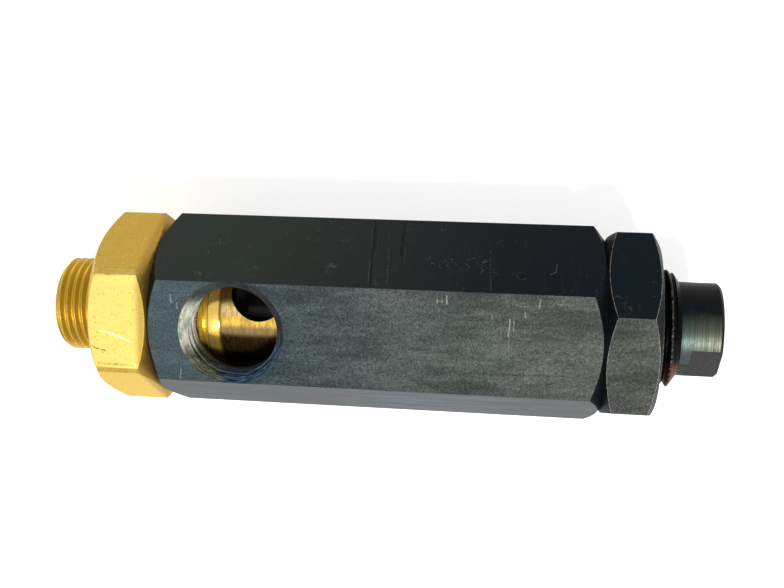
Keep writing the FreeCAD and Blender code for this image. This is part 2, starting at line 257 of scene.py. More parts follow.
def turned_ring(name, corners, foot, axis, out, steps):
    """A closed ring: the section's corners (radius, height) are spun once round the axis."""
    bm = bmesh.new()
    verts = [bm.verts.new(foot + out * radius + axis * height) for radius, height in corners]
    edges = [bm.edges.new((verts[i], verts[(i + 1) % len(verts)])) for i in range(len(verts))]
    bmesh.ops.spin(
        bm, geom=verts + edges, cent=foot, axis=axis, angle=2.0 * math.pi, steps=steps, use_merge=True)
    bmesh.ops.remove_doubles(bm, verts=bm.verts, dist=1e-8)
    bmesh.ops.recalc_face_normals(bm, faces=bm.faces)
    return tool_from(bm, name)


def tool_from(bm, name):
    mesh = bpy.data.meshes.new(name)
    bm.to_mesh(mesh)
    bm.free()
    tool = bpy.data.objects.new(name, mesh)
    bpy.context.scene.collection.objects.link(tool)
    return tool


def machine(piece, *steps):
    """Apply the (operation, tool) steps to the piece and throw the tools away."""
    for operation, tool in steps:
        modifier = piece.modifiers.new(tool.name, "BOOLEAN")
        modifier.object = tool
        modifier.operation = operation
        modifier.solver = "EXACT"
    bpy.context.view_layer.update()
    shaped = piece.evaluated_get(bpy.context.evaluated_depsgraph_get())
    mesh = bpy.data.meshes.new_from_object(shaped)
    mesh.name = piece.name
    piece.modifiers.clear()
    piece.data = mesh
    for operation, tool in steps:
        bpy.data.objects.remove(tool)


def smooth(piece):
    """Shade curved faces smooth, and keep the edges between flat faces sharp."""
    mesh = piece.data
    if "custom_normal" in mesh.attributes:
        mesh.attributes.remove(mesh.attributes["custom_normal"])
    mesh.polygons.foreach_set("use_smooth", [True] * len(mesh.polygons))
    mesh.set_sharp_from_angle(angle=SHARP_ANGLE)


def stand_in(piece, node, body, material):
    """Let the piece stand for the CAD node, move with the body and carry the material."""
    piece.data.materials.clear()
    piece.data.materials.append(material)
    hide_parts(node)
    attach(piece, body)


def refinish(node, material):
    """Give a CAD node that keeps its own mesh a better material."""
    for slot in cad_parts[node].material_slots:
        slot.material = material


# Node tools

def socket(tree, value, into):
    """Put a number or a vector on a socket, or link another node's output to it."""
    if isinstance(value, bpy.types.NodeSocket):
        tree.links.new(value, into)
    else:
        into.default_value = value


def calculate(tree, operation, first, second=0.0, clamp=False):
    node = tree.nodes.new("ShaderNodeMath")
    node.operation = operation
    node.use_clamp = clamp
    socket(tree, first, node.inputs[0])
    socket(tree, second, node.inputs[1])
    return node.outputs[0]


def calculate_vector(tree, operation, first, second, output="Vector"):
    node = tree.nodes.new("ShaderNodeVectorMath")
    node.operation = operation
    socket(tree, first, node.inputs[0])
    socket(tree, second, node.inputs["Scale"] if operation == "SCALE" else node.inputs[1])
    return node.outputs[output]


def between(tree, value, low, high, to_low=0.0, to_high=1.0):
    """A smooth step from to_low, at low, to to_high, at high."""
    node = tree.nodes.new("ShaderNodeMapRange")
    node.interpolation_type = "SMOOTHSTEP"
    for name, number in (("Value", value), ("From Min", low), ("From Max", high),
                         ("To Min", to_low), ("To Max", to_high)):
        socket(tree, number, node.inputs[name])
    return node.outputs["Result"]


def noise(tree, place, scale, detail=4.0, roughness=0.55, distortion=0.0):
    node = tree.nodes.new("ShaderNodeTexNoise")
    for name, value in (("Vector", place), ("Scale", scale), ("Detail", detail),
                        ("Roughness", roughness), ("Distortion", distortion)):
        socket(tree, value, node.inputs[name])
    return node.outputs["Fac"]


def opaque(colour):
    """A colour with its alpha, and another node's output as it is."""
    return colour if isinstance(colour, bpy.types.NodeSocket) else (*colour[:3], 1.0)


def mixed(tree, share, first, second):
    """The first colour where share is 0, and the second where it is 1."""
    node = tree.nodes.new("ShaderNodeMix")
    node.data_type = "RGBA"
    socket(tree, share, node.inputs["Factor"])
    socket(tree, opaque(first), node.inputs[6])
    socket(tree, opaque(second), node.inputs[7])
    return node.outputs[2]


def new_group(name, inputs, outputs):
    """A node group with named sockets, and its input node's sockets by name."""
    tree = bpy.data.node_groups.new(name, "ShaderNodeTree")
    kinds = {"float": "NodeSocketFloat", "vector": "NodeSocketVector", "colour": "NodeSocketColor"}
    for label, kind in inputs:
        tree.interface.new_socket(name=label, in_out="INPUT", socket_type=kinds[kind])
    for label, kind in outputs:
        tree.interface.new_socket(name=label, in_out="OUTPUT", socket_type=kinds[kind])
    entry = tree.nodes.new("NodeGroupInput")
    leave = tree.nodes.new("NodeGroupOutput")
    return tree, entry.outputs, leave.inputs


def use_group(tree, name, **values):
    """Place a group in a material; underscores in the value names stand for spaces."""
    node = tree.nodes.new("ShaderNodeGroup")
    node.node_tree = bpy.data.node_groups[name]
    for label, value in values.items():
        socket(tree, value, node.inputs[label.replace("_", " ").capitalize()])
    return node.outputs


# Effects that more than one finish uses

def build_millimetres():
    """The object's own coordinates in millimetres, so patterns have real sizes."""
    tree, entry, leave = new_group("millimetres", [], [("Place", "vector")])
    coordinate = tree.nodes.new("ShaderNodeTexCoord")
    place = calculate_vector(tree, "SCALE", coordinate.outputs["Object"], 1000.0)
    tree.links.new(place, leave["Place"])


def build_facing():
    """How far the surface faces a direction, from the object's own normal."""
    tree, entry, leave = new_group("facing", [("Direction", "vector")], [("Facing", "float")])
    coordinate = tree.nodes.new("ShaderNodeTexCoord")
    facing = calculate_vector(tree, "DOT_PRODUCT", coordinate.outputs["Normal"], entry["Direction"], "Value")
    tree.links.new(facing, leave["Facing"])


def build_worn_edges():
    """Broken wear on the faces that carry the worn_edge attribute."""
    tree, entry, leave = new_group(
        "worn edges", [("Place", "vector"), ("Grain", "float"), ("Amount", "float")], [("Mask", "float")])
    edge = tree.nodes.new("ShaderNodeAttribute")
    edge.attribute_name = "worn_edge"
    patches = noise(tree, entry["Place"], entry["Grain"], detail=5.0, roughness=0.7)
    limit = calculate(tree, "SUBTRACT", 1.0, entry["Amount"])
    low = calculate(tree, "SUBTRACT", limit, 0.12)
    high = calculate(tree, "ADD", limit, 0.12)
    broken = between(tree, patches, low, high)
    mask = calculate(tree, "MULTIPLY", broken, edge.outputs["Fac"])
    tree.links.new(mask, leave["Mask"])


def build_specks():
    """Round spots of one size, on a share of the cells of a loose grid."""
    tree, entry, leave = new_group(
        "specks",
        [("Place", "vector"), ("Spacing", "float"), ("Size", "float"), ("Share", "float")],
        [("Mask", "float")])
    cells = tree.nodes.new("ShaderNodeTexVoronoi")
    cells.feature = "F1"
    shifted = calculate_vector(tree, "ADD", entry["Place"], (13.1, 7.7, 3.3))
    tree.links.new(shifted, cells.inputs["Vector"])
    scale = calculate(tree, "DIVIDE", 1.0, entry["Spacing"])
    tree.links.new(scale, cells.inputs["Scale"])
    distance = calculate(tree, "MULTIPLY", cells.outputs["Distance"], entry["Spacing"])
    ragged = calculate(tree, "MULTIPLY", noise(tree, entry["Place"], 4.0), entry["Size"])
    inner = calculate(tree, "MULTIPLY", ragged, 0.6)
    outer = calculate(tree, "MULTIPLY", ragged, 1.5)
    spot = between(tree, distance, inner, outer, 1.0, 0.0)
    apart = tree.nodes.new("ShaderNodeSeparateColor")
    tree.links.new(cells.outputs["Color"], apart.inputs["Color"])
    chosen = calculate(tree, "LESS_THAN", apart.outputs["Red"], entry["Share"])
    mask = calculate(tree, "MULTIPLY", spot, chosen)
    tree.links.new(mask, leave["Mask"])


def build_squiggles():
    """Thin curling lines in patches, as dried drops and lint leave them."""
    tree, entry, leave = new_group(
        "squiggles",
        [("Place", "vector"), ("Scale", "float"), ("Width", "float"), ("Patches", "float")],
        [("Mask", "float")])
    field = noise(tree, entry["Place"], entry["Scale"], detail=1.5, roughness=0.4, distortion=0.6)
    centred = calculate(tree, "ABSOLUTE", calculate(tree, "SUBTRACT", field, 0.5))
    line = between(tree, centred, calculate(tree, "MULTIPLY", entry["Width"], 0.4), entry["Width"], 1.0, 0.0)
    where = noise(tree, calculate_vector(tree, "ADD", entry["Place"], (31.0, 5.0, 17.0)), 0.22, detail=3.0)
    limit = calculate(tree, "SUBTRACT", 1.0, entry["Patches"])
    patch = between(tree, where, limit, calculate(tree, "ADD", limit, 0.10))
    mask = calculate(tree, "MULTIPLY", line, patch)
    tree.links.new(mask, leave["Mask"])


def build_scratch():
    """One scratch between two points, a little uneven along its length."""
    tree, entry, leave = new_group(
        "scratch",
        [("Place", "vector"), ("Start", "vector"), ("End", "vector"), ("Width", "float")],
        [("Mask", "float")])
    wander = tree.nodes.new("ShaderNodeTexNoise")
    tree.links.new(entry["Place"], wander.inputs["Vector"])
    wander.inputs["Scale"].default_value = 0.5
    sway = calculate_vector(tree, "SUBTRACT", wander.outputs["Color"], (0.5, 0.5, 0.5))
    place = calculate_vector(tree, "ADD", entry["Place"], calculate_vector(tree, "SCALE", sway, 0.5))
    run = calculate_vector(tree, "SUBTRACT", entry["End"], entry["Start"])
    offset = calculate_vector(tree, "SUBTRACT", place, entry["Start"])
    square = calculate_vector(tree, "DOT_PRODUCT", run, run, "Value")
    along = calculate(
        tree, "DIVIDE", calculate_vector(tree, "DOT_PRODUCT", offset, run, "Value"), square, clamp=True)
    nearest = calculate_vector(tree, "SCALE", run, along)
    distance = calculate_vector(tree, "DISTANCE", offset, nearest, "Value")
    uneven = calculate(tree, "MULTIPLY", noise(tree, entry["Place"], 1.3, detail=3.0), entry["Width"])
    mask = between(tree, distance, calculate(tree, "MULTIPLY", uneven, 0.5), uneven, 1.0, 0.0)
    tree.links.new(mask, leave["Mask"])


def build_lay():
    """Fine parallel tool marks: noise that is squeezed along one direction."""
    tree, entry, leave = new_group(
        "lay", [("Place", "vector"), ("Squeeze", "vector"), ("Scale", "float")], [("Value", "float")])
    squeezed = calculate_vector(tree, "MULTIPLY", entry["Place"], entry["Squeeze"])
    value = noise(tree, squeezed, entry["Scale"], detail=3.0, roughness=0.6)
    tree.links.new(value, leave["Value"])


def build_from_line():
    """Distance from a straight line through a point, such as the middle of a bore."""
    tree, entry, leave = new_group(
        "from line", [("Place", "vector"), ("Point", "vector"), ("Direction", "vector")],
        [("Distance", "float")])
    offset = calculate_vector(tree, "SUBTRACT", entry["Place"], entry["Point"])
    across = calculate_vector(tree, "CROSS_PRODUCT", offset, entry["Direction"])
    distance = calculate_vector(tree, "LENGTH", across, (0.0, 0.0, 0.0), "Value")
    tree.links.new(distance, leave["Distance"])


def build_effects():
    for build in (build_millimetres, build_facing, build_worn_edges, build_specks, build_squiggles,
                  build_scratch, build_lay, build_from_line):
        build()


# Finishes

def new_finish(name):
    """A material with its shader, and the object's place in millimetres."""
    material = bpy.data.materials.new(name)
    material.use_nodes = True
    tree = material.node_tree
    shader = tree.nodes["Principled BSDF"]
    place = use_group(tree, "millimetres")["Place"]
    return material, tree, shader, place


def add_bump(tree, shader, height, strength, distance):
    bump = tree.nodes.new("ShaderNodeBump")
    bump.inputs["Strength"].default_value = strength
    bump.inputs["Distance"].default_value = distance * MM
    tree.links.new(height, bump.inputs["Height"])
    tree.links.new(bump.outputs["Normal"], shader.inputs["Normal"])


def along_valve(tree, place, axis="X"):
    """The place along the valve, or along another axis, in millimetres."""
    apart = tree.nodes.new("ShaderNodeSeparateXYZ")
    tree.links.new(place, apart.inputs[0])
    return apart.outputs[axis]


def facing(tree, y, z, low, high):
    """1 on surfaces that face (0, y, z), from low to high."""
    toward = use_group(tree, "facing", direction=(0.0, y, z))["Facing"]
    return between(tree, toward, low, high)


def unseen(tree):
    """1 on the sides that the photograph doesn't show: underneath and on the ends."""
    upward = use_group(tree, "facing", direction=(0.0, 0.0, 1.0))["Facing"]
    endward = use_group(tree, "facing", direction=(1.0, 0.0, 0.0))["Facing"]
    under = between(tree, upward, -0.40, -0.05, 1.0, 0.0)
    ends = between(tree, calculate(tree, "ABSOLUTE", endward), 0.86, 0.97)
    return calculate(tree, "MAXIMUM", under, ends)


def times(tree, *values):
    product = values[0]
    for value in values[1:]:
        product = calculate(tree, "MULTIPLY", product, value)
    return product


def outside(tree, mask):
    """What a mask leaves out."""
    return calculate(tree, "SUBTRACT", 1.0, mask)


def band(tree, value, low, high, fall, end):
    """1 from high to fall, with smooth steps up from low and down to end."""
    return times(tree, between(tree, value, low, high), between(tree, value, fall, end, 1.0, 0.0))


def marks(tree, place, lines):
    """One mask for a list of scratches, each (start, end, width, strength)."""
    total = 0.0
    for start, end, width, strength in lines:
        line = use_group(tree, "scratch", place=place, start=start, end=end, width=width)["Mask"]
        total = calculate(tree, "MAXIMUM", total, calculate(tree, "MULTIPLY", line, strength))
    return total


# Start, end, width and strength of the marks that handling left, in millimetres.
BODY_GROOVES = (
    ((47.3, 17.0, 0.4), (48.5, 8.9, 14.6), 0.42, 0.9),
    ((47.8, 17.0, 0.4), (48.2, 13.0, 7.5), 0.30, 0.6),
    ((52.4, 17.0, 0.4), (52.7, 12.8, 7.8), 0.40, 0.8),
    ((52.9, 16.8, 0.8), (53.1, 11.5, 10.0), 0.26, 0.5),
    ((67.0, -4.92, 15.0), (81.1, -4.69, 15.0), 0.20, 0.5),
    ((77.2, -6.26, 15.0), (80.4, -5.24, 15.0), 0.30, 0.5),
)
BODY_NICKS = (
    ((59.4, 7.7, 15.0), (59.5, 6.7, 15.0), 0.30, 0.8),
    ((60.2, 7.8, 15.0), (60.3, 6.9, 15.0), 0.24, 0.7),
    ((61.0, 7.9, 15.0), (61.1, 6.6, 15.0), 0.30, 0.9),
    ((73.5, 6.6, 15.0), (73.6, 4.9, 15.0), 0.26, 0.8),
    ((71.2, 4.4, 15.0), (71.1, 1.5, 15.0), 0.28, 0.8),
    ((71.8, 4.1, 15.0), (71.8, 2.6, 15.0), 0.18, 0.6),
    ((71.1, 1.0, 15.0), (71.2, -1.0, 15.0), 0.18, 0.4),
    ((76.0, 7.9, 15.0), (75.7, 6.4, 15.0), 0.22, 0.6),
    ((68.3, 5.3, 15.0), (68.4, 4.4, 15.0), 0.20, 0.6),
    ((15.0, 6.3, 15.0), (15.1, 4.9, 15.0), 0.22, 0.6),
    ((16.1, 4.9, 15.0), (16.1, 3.8, 15.0), 0.22, 0.6),
    ((16.4, -6.4, 15.0), (16.1, -8.3, 15.0), 0.20, 0.5),
    ((50.1, 15.9, 2.4), (51.2, 9.2, 14.1), 0.16, 0.10),
    ((67.3, 14.8, 4.3), (68.0, 9.0, 14.4), 0.16, 0.12),
    ((78.5, 12.4, 8.6), (78.3, 11.4, 10.3), 0.20, 0.22),
    ((78.3, 11.4, 10.3), (77.4, 11.1, 10.8), 0.20, 0.22),
    ((46.9, 16.8, 0.8), (48.1, 9.0, 14.4), 0.12, 0.12),
    ((52.9, 16.9, 0.6), (53.3, 12.0, 9.2), 0.12, 0.10),
)
BRASS_GOUGES = (
    ((2.2, -0.6, 15.1), (6.6, -1.5, 15.2), 0.42, 0.8),
    ((4.6, -1.1, 15.1), (8.1, -2.3, 15.2), 0.34, 1.0),
    ((2.6, -0.4, 15.1), (5.0, -0.9, 15.1), 0.26, 0.6),
)
BRASS_NICKS = (
    ((1.3, -3.4, 15.3), (3.4, -4.0, 15.4), 0.34, 0.9),
    ((1.0, -3.1, 15.3), (1.8, -3.8, 15.3), 0.26, 0.8),
    ((2.1, -6.2, 15.5), (8.1, -6.4, 15.6), 0.60, 0.6),
    ((3.6, 9.1, 14.3), (9.0, 9.1, 14.2), 0.26, 0.6),
    ((0.9, 11.7, 10.4), (1.7, 11.5, 10.8), 0.60, 0.5),
)


Grain = namedtuple("Grain", "along broad fine grit lines")


def black_oxide(name, colours, left, right, span, film_range, patchy):
    """Blackened steel with dried, patchy film on upward faces, its colour changing along the piece."""
    material, tree, shader, place = new_finish(name)
    along = between(tree, along_valve(tree, place), span[0], span[1])
    drawn = calculate_vector(tree, "MULTIPLY", place, (0.28, 1.0, 1.0))
    broad = noise(tree, drawn, 0.24, detail=5.0, roughness=0.62)
    fine = noise(tree, place, 1.7, detail=7.0, roughness=0.80)
    grit = noise(tree, place, 3.4, detail=5.0, roughness=0.66)
    lines = use_group(tree, "lay", place=place, squeeze=(1.0, 0.05, 0.05), scale=2.6)["Value"]
    patches = noise(tree, drawn, 0.9, detail=5.0, roughness=0.7)
    film = times(
        tree, facing(tree, 0.0, 1.0, *film_range),
        between(tree, broad, 0.34, 0.66, 0.42, 0.86), between(tree, fine, 0.34, 0.66, 0.48, 1.06),
        between(tree, grit, 0.32, 0.68, 0.56, 1.12),
        between(tree, patches, 0.34, 0.66, 1.0 - patchy, 1.0 + patchy))
    # Underneath and on the ends the oxide is a lighter, mottled copy of the same oxide: painted sheen.
    colour = mixed(tree, unseen(tree), colours.oxide, mixed(
        tree, times(tree, between(tree, broad, 0.34, 0.66), between(tree, grit, 0.30, 0.70, 0.5, 1.0)),
        (0.014, 0.017, 0.019), (0.072, 0.082, 0.084)))
    colour = mixed(tree, film, colour, mixed(tree, along, left, right))
    grains = use_group(tree, "specks", place=place, spacing=0.60, size=0.15, share=0.22)["Mask"]
    pale = times(tree, grains, facing(tree, 0.0, 1.0, *film_range), 0.60)
    colour = mixed(tree, pale, colour, (0.30, 0.31, 0.25))
    return material, tree, shader, place, Grain(along, broad, fine, grit, lines), colour


def finish_oxide(tree, shader, place, colours, colour, grain, rough, curled, wear):
    """Specks, squiggles and worn edges over an oxide colour, then roughness and grain."""
    upward = calculate(tree, "MAXIMUM", facing(tree, 0.25, 0.97, 0.30, 0.80), unseen(tree))
    dots = use_group(tree, "specks", place=place, spacing=1.3, size=0.15, share=0.30)["Mask"]
    colour = mixed(tree, times(tree, dots, upward, 0.40), colour, (0.26, 0.27, 0.23))
    curls = use_group(tree, "squiggles", place=place, scale=0.55, width=0.010, patches=0.44)["Mask"]
    colour = mixed(tree, times(tree, curls, upward, curled), colour, (0.22, 0.24, 0.21))
    worn = use_group(tree, "worn edges", place=place, grain=1.2, amount=wear)["Mask"]
    colour = mixed(tree, times(tree, worn, 0.75), colour, colours.bare_steel)
    tree.links.new(colour, shader.inputs["Base Color"])
    rough = between(tree, grain.fine, 0.2, 0.8, rough - 0.06, rough + 0.08)
    tree.links.new(rough, shader.inputs["Roughness"])
    shader.inputs["Specular IOR Level"].default_value = 0.05
    height = calculate(tree, "ADD", grain.fine, times(tree, grain.grit, 0.6))
    height = calculate(tree, "ADD", height, times(tree, grain.lines, 0.7))
    add_bump(tree, shader, height, 0.30, 0.03)


def body_finish(colours):
    """The body: mottled port flat, rear flat painted dark as painted shade, bluish front flat, stained port
    thread with painted light and shade in the port.
    """
    material, tree, shader, place, grain, colour = black_oxide(
        "black oxide body", colours, (0.115, 0.165, 0.179), (0.213, 0.236, 0.202),
        (14.0, 84.0), (0.86, 0.98), 0.17)
    x = along_valve(tree, place)
    port_end = times(
        tree, facing(tree, 0.0, 1.0, 0.86, 0.98), between(tree, x, 15.0, 30.0, 1.0, 0.0),
        between(tree, grain.grit, 0.32, 0.62, 0.12, 0.44))
    colour = mixed(tree, port_end, colour, (0.125, 0.175, 0.190))
    # The rear flat is painted dark, from dark olive to nearly black along the valve: painted shade.
    rear = mixed(tree, grain.along, (0.032, 0.042, 0.034), (0.001, 0.003, 0.007))
    rear_mask = facing(tree, 0.866, 0.5, 0.90, 0.98)
    colour = mixed(tree, rear_mask, colour, rear)
    fine_lines = use_group(tree, "lay", place=place, squeeze=(1.0, 0.012, 0.012), scale=4.5)["Value"]
    line_patch = between(tree, grain.broad, 0.48, 0.66)
    rear_lines = times(tree, rear_mask, line_patch, between(tree, fine_lines, 0.58, 0.74), 0.25)
    colour = mixed(tree, rear_lines, colour, (0.08, 0.10, 0.12))
    low_mask = facing(tree, -0.866, 0.5, 0.90, 0.98)
    stretched = calculate_vector(tree, "MULTIPLY", place, (0.05, 0.6, 0.6))
    streaks = noise(tree, stretched, 1.0, detail=4.0)
    brushed = use_group(tree, "lay", place=place, squeeze=(0.06, 1.0, 1.0), scale=3.2)["Value"]
    low_colour = mixed(tree, between(tree, streaks, 0.34, 0.70), (0.062, 0.073, 0.070), (0.082, 0.096, 0.102))
    bright_lines = between(tree, brushed, 0.46, 0.66, 0.0, 0.3)
    dark_lines = between(tree, brushed, 0.32, 0.46, 0.3, 0.0)
    low_colour = mixed(tree, bright_lines, low_colour, (0.130, 0.148, 0.155))
    low_colour = mixed(tree, dark_lines, low_colour, (0.030, 0.036, 0.040))
    ragged = calculate(tree, "ADD", x, between(tree, brushed, 0.3, 0.7, -9.0, 9.0))
    smear = times(tree, band(tree, ragged, 42.0, 56.0, 60.0, 76.0), between(tree, streaks, 0.34, 0.64))
    low_colour = mixed(tree, times(tree, smear, 0.65), low_colour, (0.115, 0.145, 0.172))
    colour = mixed(tree, low_mask, colour, low_colour)
    colour = port_stains_and_shade(tree, place, colour)
    colour = mixed(tree, marks(tree, place, BODY_GROOVES), colour, (0.001, 0.001, 0.001))
    colour = mixed(tree, marks(tree, place, BODY_NICKS), colour, (0.42, 0.43, 0.38))
    finish_oxide(tree, shader, place, colours, colour, grain, 0.46, 0.45, 0.46)
    return material


def port_stains_and_shade(tree, place, colour):
    """Pale and green deposit on one side of the port's thread, brightened there as painted light; a painted
    blue sheen opposite; painted shade, black, deep in the port.
    """
    radius = use_group(
        tree, "from line", place=place, point=(25.1, 0.0, 0.0), direction=(0.0, 0.0, 1.0))["Distance"]
    apart = tree.nodes.new("ShaderNodeSeparateXYZ")
    tree.links.new(place, apart.inputs[0])
    x = calculate(tree, "SUBTRACT", apart.outputs["X"], 25.1)
    y = apart.outputs["Y"]
    z = apart.outputs["Z"]
    inside = times(tree, between(tree, radius, 8.96, 9.08, 1.0, 0.0), between(tree, z, 4.0, 5.0))
    turn = calculate(tree, "ARCTAN2", y, x)
    unrolled = tree.nodes.new("ShaderNodeCombineXYZ")
    tree.links.new(calculate(tree, "MULTIPLY", turn, 1.6), unrolled.inputs["X"])
    tree.links.new(calculate(tree, "ADD", z, calculate(tree, "MULTIPLY", radius, 0.7)), unrolled.inputs["Y"])
    threads = calculate_vector(tree, "MULTIPLY", unrolled.outputs["Vector"], (0.9, 1.9, 1.0))
    rings = noise(tree, threads, 2.4, detail=6.0, roughness=0.75)
    cloud = noise(tree, place, 0.6, detail=4.0)
    # The pale side of the thread is a pale and green deposit, made very bright there as painted light.
    pale = mixed(tree, between(tree, rings, 0.36, 0.56), (0.25, 0.235, 0.165), (0.86, 0.83, 0.70))
    olive = mixed(tree, between(tree, rings, 0.42, 0.64), (0.030, 0.036, 0.024), (0.30, 0.32, 0.22))
    green = mixed(tree, times(tree, between(tree, cloud, 0.52, 0.64), 0.6), pale, (0.14, 0.36, 0.27))
    bright = times(tree, between(tree, x, -6.5, -4.0, 1.0, 0.0), between(tree, y, -4.6, -1.5),
                   between(tree, y, 3.0, 6.0, 1.0, 0.0))
    left = mixed(tree, bright, olive, green)
    left = mixed(tree, between(tree, y, 4.6, 6.6), left, (0.052, 0.064, 0.062))
    blue = mixed(tree, between(tree, rings, 0.42, 0.60), (0.010, 0.016, 0.028), (0.12, 0.20, 0.31))
    grey = mixed(tree, between(tree, rings, 0.40, 0.62), (0.016, 0.018, 0.020), (0.060, 0.068, 0.070))
    right = mixed(tree, between(tree, y, -4.0, 2.0), blue, grey)
    shifted = calculate(tree, "ADD", x, between(tree, cloud, 0.3, 0.7, -1.2, 1.2))
    thread = mixed(tree, between(tree, shifted, -4.5, 0.0, 1.0, 0.0), right, left)
    # Deep in the port the wall is painted nearly black as painted shade, and brown towards +Y.
    deep = between(tree, z, 9.6, 10.8, 1.0, 0.0)
    depth = mixed(tree, between(tree, y, 0.0, 3.0), (0.008, 0.006, 0.005), (0.14, 0.090, 0.045))
    thread = mixed(tree, deep, thread, depth)
    return mixed(tree, inside, colour, thread)


def nut_finish(colours):
    """The lock nut: olive, grainy front flat and the upward face beside it painted nearly black as painted
    shade.
    """
    material, tree, shader, place, grain, colour = black_oxide(
        "black oxide nut", colours, (0.180, 0.197, 0.160), (0.188, 0.203, 0.160),
        (86.0, 96.0), (0.82, 0.95), 0.05)
    # The upward face beside the front flat is painted nearly black: painted shade.
    colour = mixed(tree, facing(tree, 0.76, 0.65, 0.90, 0.98), colour, (0.006, 0.010, 0.014))
    finish_oxide(tree, shader, place, colours, colour, grain, 0.46, 0.30, 0.56)
    return material


def screw_finish(colours):
    """The adjusting screw: turned black head with a painted green sheen, painted glints on the thread crests,
    and rust in the run-out.
    """
    material, tree, shader, place, grain, colour = black_oxide(
        "black oxide screw", colours, (0.16, 0.23, 0.19), (0.30, 0.32, 0.23),
        (98.0, 106.0), (0.86, 1.0), 0.05)
    turned = use_group(tree, "lay", place=place, squeeze=(1.0, 0.006, 0.006), scale=4.0)["Value"]
    flat = facing(tree, -0.643, 0.766, 0.985, 0.998)
    # The band of the head that faces up gets a paler green colour: painted sheen.
    head = times(tree, facing(tree, -0.10, 1.0, 0.72, 0.98), between(tree, turned, 0.34, 0.62, 0.60, 1.0),
                 outside(tree, flat))
    sheen = mixed(tree, grain.along, (0.050, 0.078, 0.066), (0.095, 0.098, 0.070))
    colour = mixed(tree, head, colours.oxide, sheen)
    # A paler blue-grey on the head's lower side, with less metal, carries the painted sheen further down.
    low_side = times(tree, facing(tree, -0.50, 0.866, 0.93, 0.99), outside(tree, flat))
    colour = mixed(tree, low_side, colour, (0.080, 0.092, 0.098))
    fine = grain.fine
    flat_colour = mixed(tree, between(tree, fine, 0.36, 0.64), (0.040, 0.038, 0.038), (0.064, 0.061, 0.062))
    colour = mixed(tree, flat, colour, flat_colour)
    radius = use_group(
        tree, "from line", place=place, point=(0.0, 0.0, 0.0), direction=(1.0, 0.0, 0.0))["Distance"]
    x = along_valve(tree, place)
    y = along_valve(tree, place, "Y")
    threaded = between(tree, x, 98.6, 99.1, 1.0, 0.0)
    colour = mixed(tree, threaded, colour, (0.002, 0.002, 0.002))
    # Pale grey on the thread crests: painted glints.
    crest = times(tree, threaded, between(tree, radius, 9.90, 9.99), between(tree, fine, 0.46, 0.60), 0.7)
    colour = mixed(tree, crest, colour, (0.24, 0.24, 0.22))
    brown = times(tree, facing(tree, 0.98, 0.2, 0.80, 0.98), 0.5)
    colour = mixed(tree, brown, colour, (0.012, 0.004, 0.003))
    rust = times(tree, band(tree, x, 96.6, 97.6, 98.8, 99.5), between(tree, y, -3.0, -5.0),
                 between(tree, fine, 0.40, 0.60), 0.65)
    colour = mixed(tree, rust, colour, colours.rust)
    turned_grain = grain._replace(grit=turned, lines=turned)
    finish_oxide(tree, shader, place, colours, colour, turned_grain, 0.40, 0.12, 0.4)
    # Metal only in that band, so the lamp shows a highlight there alone: part of the painted sheen.
    painted_sheen_metal = times(tree, head, between(tree, x, 99.0, 99.4), outside(tree, times(tree, low_side, 0.6)))
    tree.links.new(painted_sheen_metal, shader.inputs["Metallic"])
    return material


